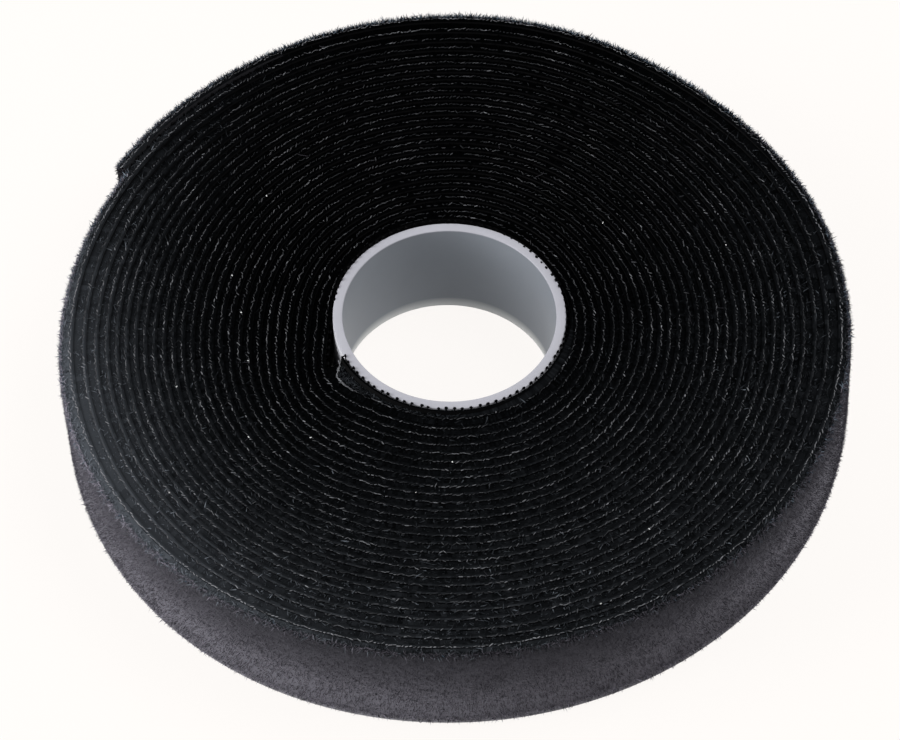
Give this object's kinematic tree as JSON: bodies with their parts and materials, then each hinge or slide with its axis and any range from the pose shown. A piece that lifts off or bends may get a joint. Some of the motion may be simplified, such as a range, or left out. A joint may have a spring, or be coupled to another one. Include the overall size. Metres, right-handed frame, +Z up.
{
  "type": "hook and loop tape roll",
  "caption": "Flat roll of black back-to-back hook and loop tape wound on a grey plastic core ring; the free outer end peels off to be cut into cable ties and straps.",
  "frame": {"origin": "on the core's axis, on the flat face that the roll lies on", "axes": "+Z up along the core's axis; +X to the right and +Y away from the viewer in the picture"},
  "size_m": [0.1573, 0.1583, 0.0256],
  "materials": {
    "core_plastic": "smooth satin light grey plastic",
    "hook_black": "black moulded plastic web with mushroom hooks",
    "loop_black": "black knitted nylon with a brushed loop pile"
  },
  "bodies": {
    "roll": {"core_ring": "core_plastic", "hook_web": "hook_black", "loop_web": "loop_black"},
    "tail": {"hook_tail": "hook_black", "loop_tail": "loop_black"}
  },
  "joints": [
    {"name": "tail_peel", "type": "hinge", "parent": "roll", "child": "tail", "pos_m": [-0.0362, 0.07095, 0.0125], "axis": [0, 0, -1], "range_deg": [0, 75]}
  ]
}
